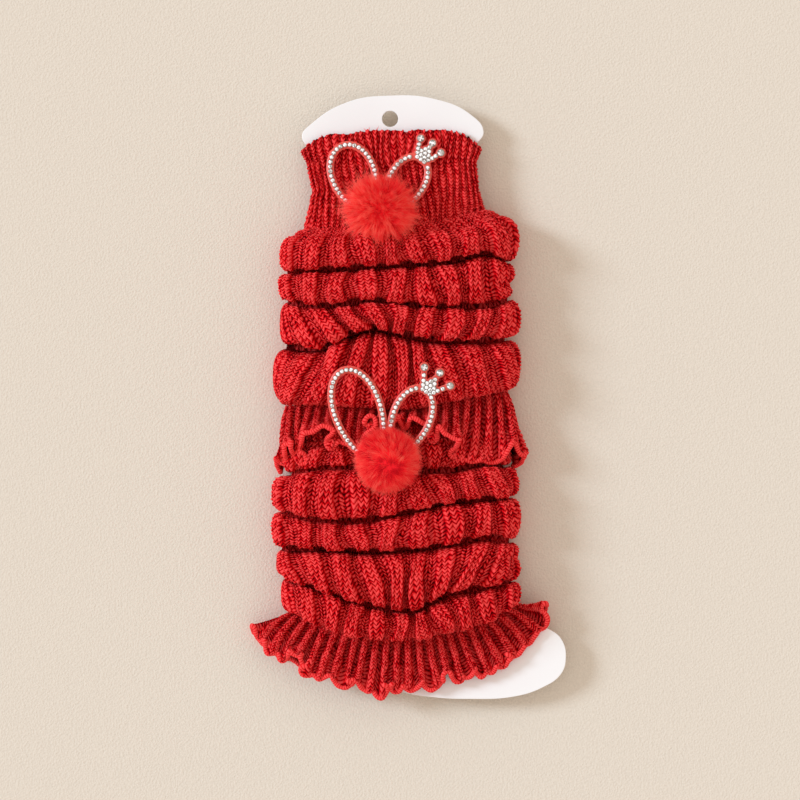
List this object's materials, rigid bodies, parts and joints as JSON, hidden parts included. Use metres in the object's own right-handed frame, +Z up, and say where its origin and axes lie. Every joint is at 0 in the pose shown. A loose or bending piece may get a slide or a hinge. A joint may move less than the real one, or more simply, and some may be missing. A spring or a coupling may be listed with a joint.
{
  "type": "pair of ribbed knit baby leg warmers on a display card",
  "caption": "Pair of red ribbed knit baby leg warmers with rabbit-ear stone trims, fur pompoms and ruffled hems, pushed into folds on a foot-shaped display card.",
  "frame": {"origin": "middle of the outline seen from above, on the surface that the pair lies on", "axes": "+Y along the leg warmers towards the card's hang hole, +X to the right seen from above with the hang hole at the top, +Z up from the surface towards the trimmed front"},
  "size_m": [0.1386, 0.2662, 0.0378],
  "materials": {
    "knit": "matt, slightly fuzzy red acrylic rib knit",
    "fur": "soft red fur",
    "trim": "red backing strip set with clear faceted stones in silvery cups",
    "card": "smooth white, satin",
    "stones": "clear faceted glass with a silvery foil back",
    "cups": "bright pressed cups round the stones"
  },
  "bodies": {
    "root": {"display_card": "card", "upper_cuff": "knit", "upper_leg": "knit", "upper_hem": "knit", "upper_ear_trim": "trim", "upper_pompom": "fur", "lower_cuff": "knit", "lower_leg": "knit", "lower_hem": "knit", "lower_ear_trim": "trim", "lower_pompom": "fur"}
  },
  "joints": []
}
